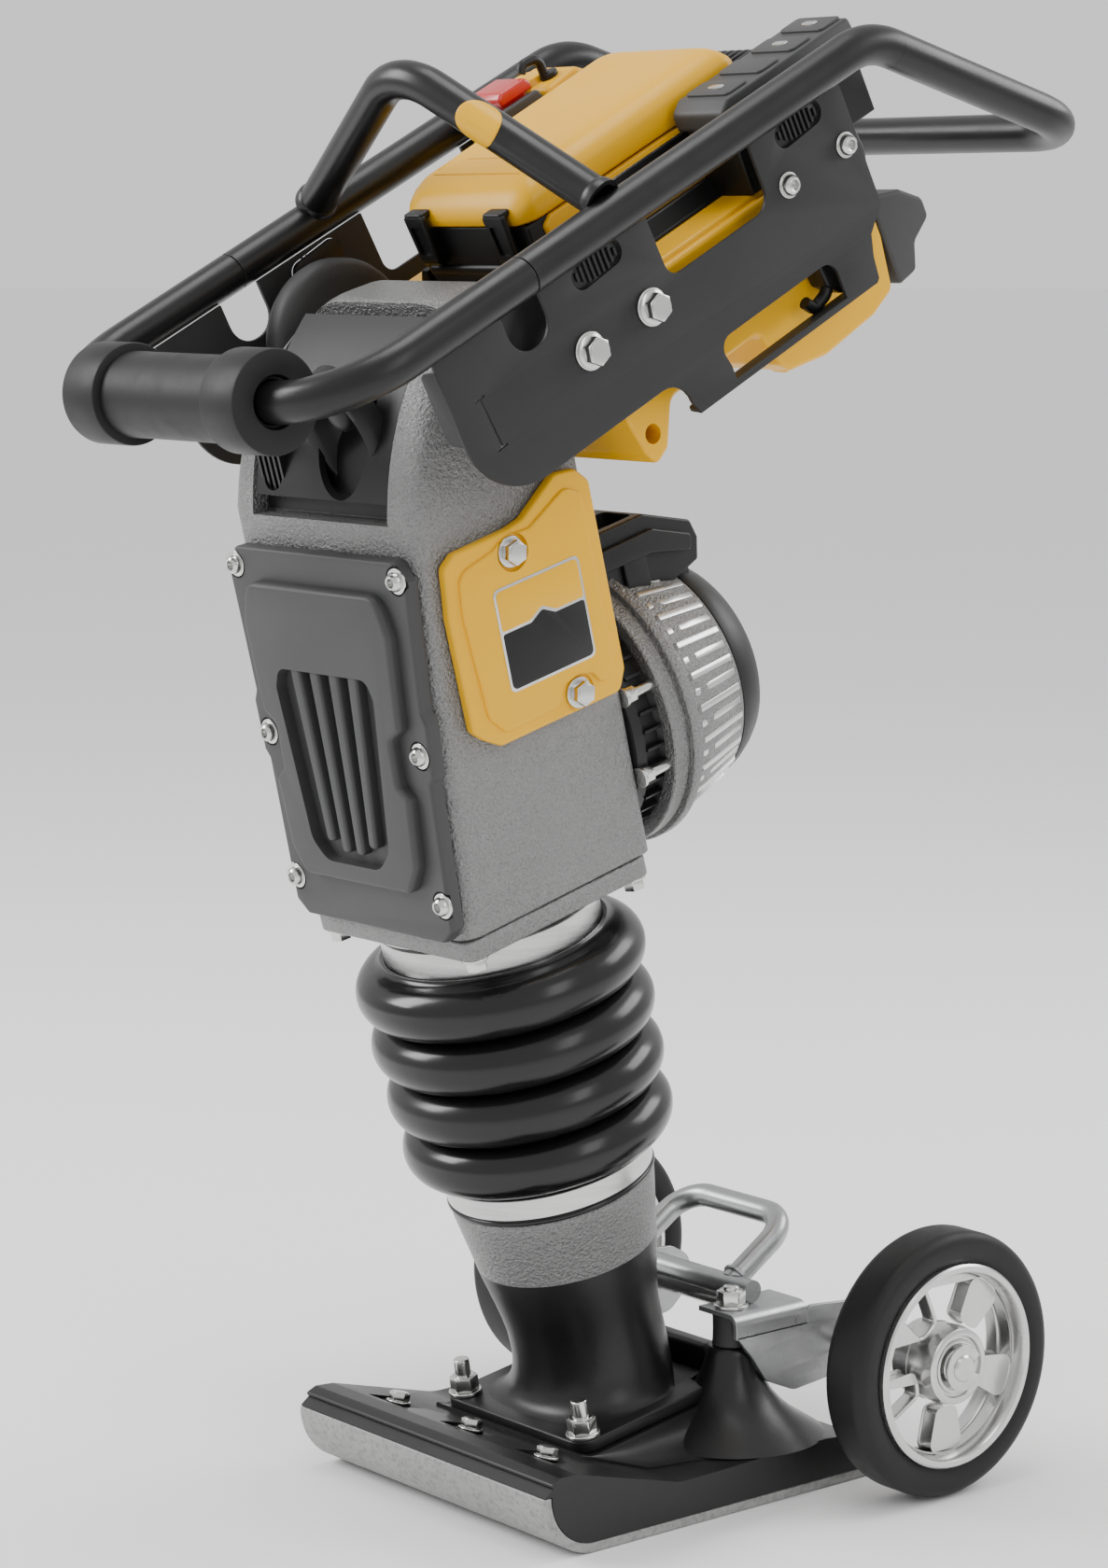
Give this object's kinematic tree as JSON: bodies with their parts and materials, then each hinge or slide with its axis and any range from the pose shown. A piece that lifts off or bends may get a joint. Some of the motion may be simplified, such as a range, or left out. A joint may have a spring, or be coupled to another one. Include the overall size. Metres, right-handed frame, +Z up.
{
  "type": "jumping jack rammer",
  "caption": "Upright soil rammer: flat shoe on a sprung leg with ribbed bellows, cast crankcase with electric motor, tubular handle frame with battery, transport wheels.",
  "frame": {"origin": "middle of the sole's flat underside, on the ground", "axes": "+Z up, +Y from the toe to the heel and the operator's handle, +X across the shoe"},
  "size_m": [0.464, 0.7329, 1.0576],
  "materials": {
    "shoe_steel": "scuffed wear plate steel",
    "black_casting": "semi gloss black paint on cast metal",
    "zinc": "bright zinc plated fasteners",
    "galvanised": "satin galvanised steel",
    "cast_alloy": "sand cast aluminium paint",
    "turned_alloy": "turned aluminium",
    "bellows_rubber": "glossy black rubber",
    "mount_rubber": "matt black rubber",
    "tyre": "solid rubber tyre",
    "spring_steel": "oiled spring steel",
    "bronze": "bearing bronze",
    "grey_plastic": "dark grey moulded plastic, fine texture",
    "black_plastic": "black moulded plastic, fine texture",
    "yellow_plastic": "satin yellow moulded plastic",
    "tube_black": "satin black powder coat",
    "plate_grey": "fine texture dark grey powder coat",
    "red_plastic": "gloss red button",
    "copper": "enamelled copper winding"
  },
  "bodies": {
    "leg": {"wear_plate": "shoe_steel", "shoe_block": "black_casting", "toe_bolts": "zinc", "foot_casting": "black_casting", "foot_studs": "zinc", "leg_cylinder": "cast_alloy", "leg_seal_ring": "bellows_rubber", "lower_collar": "turned_alloy", "bellows": "bellows_rubber", "lower_spring": "spring_steel", "upper_spring": "spring_steel", "rear_buffers": "mount_rubber", "left_wheel_bracket": "galvanised", "right_wheel_bracket": "galvanised", "bracket_nuts": "zinc", "grab_handle": "galvanised", "wheel_axle": "zinc"},
    "machine": {"guide_flange": "cast_alloy", "guide_bush": "bronze", "piston_rod": "spring_steel", "crankcase": "cast_alloy", "flange_bolts": "zinc", "front_cover": "grey_plastic", "cover_screws": "zinc", "left_side_cover": "yellow_plastic", "right_side_cover": "yellow_plastic", "side_cover_bolts": "zinc", "hood_panel": "black_plastic", "crank_bearings": "spring_steel", "motor_stator": "copper", "motor_adapter": "black_plastic", "motor_barrel": "cast_alloy", "motor_cap": "black_plastic", "connector_box": "black_plastic", "shock_mounts": "mount_rubber"},
    "crank": {"crank_gear": "spring_steel"},
    "conrod": {"connecting_rod": "spring_steel"},
    "rotor": {"motor_rotor": "spring_steel"},
    "handle": {"pivot_bolts": "zinc", "left_rail": "tube_black", "right_rail": "tube_black", "rear_crossbar": "tube_black", "front_loop": "tube_black", "lifting_bail": "tube_black", "left_side_plate": "plate_grey", "right_side_plate": "plate_grey", "plate_bolts": "zinc", "power_unit": "yellow_plastic", "rear_vent": "black_plastic", "rear_bumper": "grey_plastic", "switch_box": "yellow_plastic"},
    "roller": {"front_roller": "mount_rubber"},
    "battery_pack": {"battery": "yellow_plastic"},
    "latch_left": {"left_latch": "black_plastic"},
    "latch_right": {"right_latch": "black_plastic"},
    "stop_switch": {"stop_button": "red_plastic"},
    "wheel_left": {"left_tyre": "tyre", "left_rim": "cast_alloy"},
    "wheel_right": {"right_tyre": "tyre", "right_rim": "cast_alloy"}
  },
  "joints": [
    {"name": "leg_stroke", "type": "slide", "parent": "leg", "child": "machine", "axis": [0, -0.2756, 0.9613], "range_m": [-0.06, 0], "stiffness_N_per_m": 12000, "springref_m": 0.05, "deforming": ["bellows", "lower_spring", "upper_spring"]},
    {"name": "crank_turn", "type": "hinge", "parent": "machine", "child": "crank", "pos_m": [0, -0.1409, 0.63697], "axis": [0, 0.9613, 0.2756], "continuous": true},
    {"name": "rod_swing", "type": "hinge", "parent": "crank", "child": "conrod", "pos_m": [0, -0.16243, 0.59959], "axis": [0, 0.9613, 0.2756], "continuous": true},
    {"name": "motor_turn", "type": "hinge", "parent": "machine", "child": "rotor", "pos_m": [0, -0.04873, 0.56587], "axis": [0, 0.9613, 0.2756], "continuous": true},
    {"name": "handle_sway", "type": "hinge", "parent": "machine", "child": "handle", "pos_m": [0, -0.15399, 0.83633], "axis": [1, 0, 0], "range_deg": [-2.5, 2.5], "stiffness_Nm_per_rad": 2500},
    {"name": "roller_turn", "type": "hinge", "parent": "handle", "child": "roller", "pos_m": [0, -0.36783, 0.80634], "axis": [1, 0, 0], "continuous": true},
    {"name": "battery_lift", "type": "slide", "parent": "handle", "child": "battery_pack", "axis": [0, -0.4633, 0.8862], "range_m": [0, 0.04]},
    {"name": "left_latch_open", "type": "hinge", "parent": "battery_pack", "child": "latch_left", "pos_m": [-0.044, -0.12444, 0.89635], "axis": [1, 0, 0], "range_deg": [0, 30], "stiffness_Nm_per_rad": 0.05},
    {"name": "right_latch_open", "type": "hinge", "parent": "battery_pack", "child": "latch_right", "pos_m": [0.044, -0.12444, 0.89635], "axis": [1, 0, 0], "range_deg": [0, 30], "stiffness_Nm_per_rad": 0.05},
    {"name": "stop_press", "type": "slide", "parent": "handle", "child": "stop_switch", "axis": [0, -0.4633, 0.8862], "range_m": [-0.004, 0], "stiffness_N_per_m": 800, "springref_m": 0.004},
    {"name": "left_wheel_turn", "type": "hinge", "parent": "leg", "child": "wheel_left", "pos_m": [-0.2025, 0.142, 0.0995], "axis": [1, 0, 0], "continuous": true},
    {"name": "right_wheel_turn", "type": "hinge", "parent": "leg", "child": "wheel_right", "pos_m": [0.2025, 0.142, 0.0995], "axis": [1, 0, 0], "continuous": true}
  ],
  "couplings": [
    {"joint": "motor_turn", "follows": "crank_turn", "ratio": -4},
    {"joint": "rod_swing", "follows": "crank_turn", "ratio": -1}
  ]
}
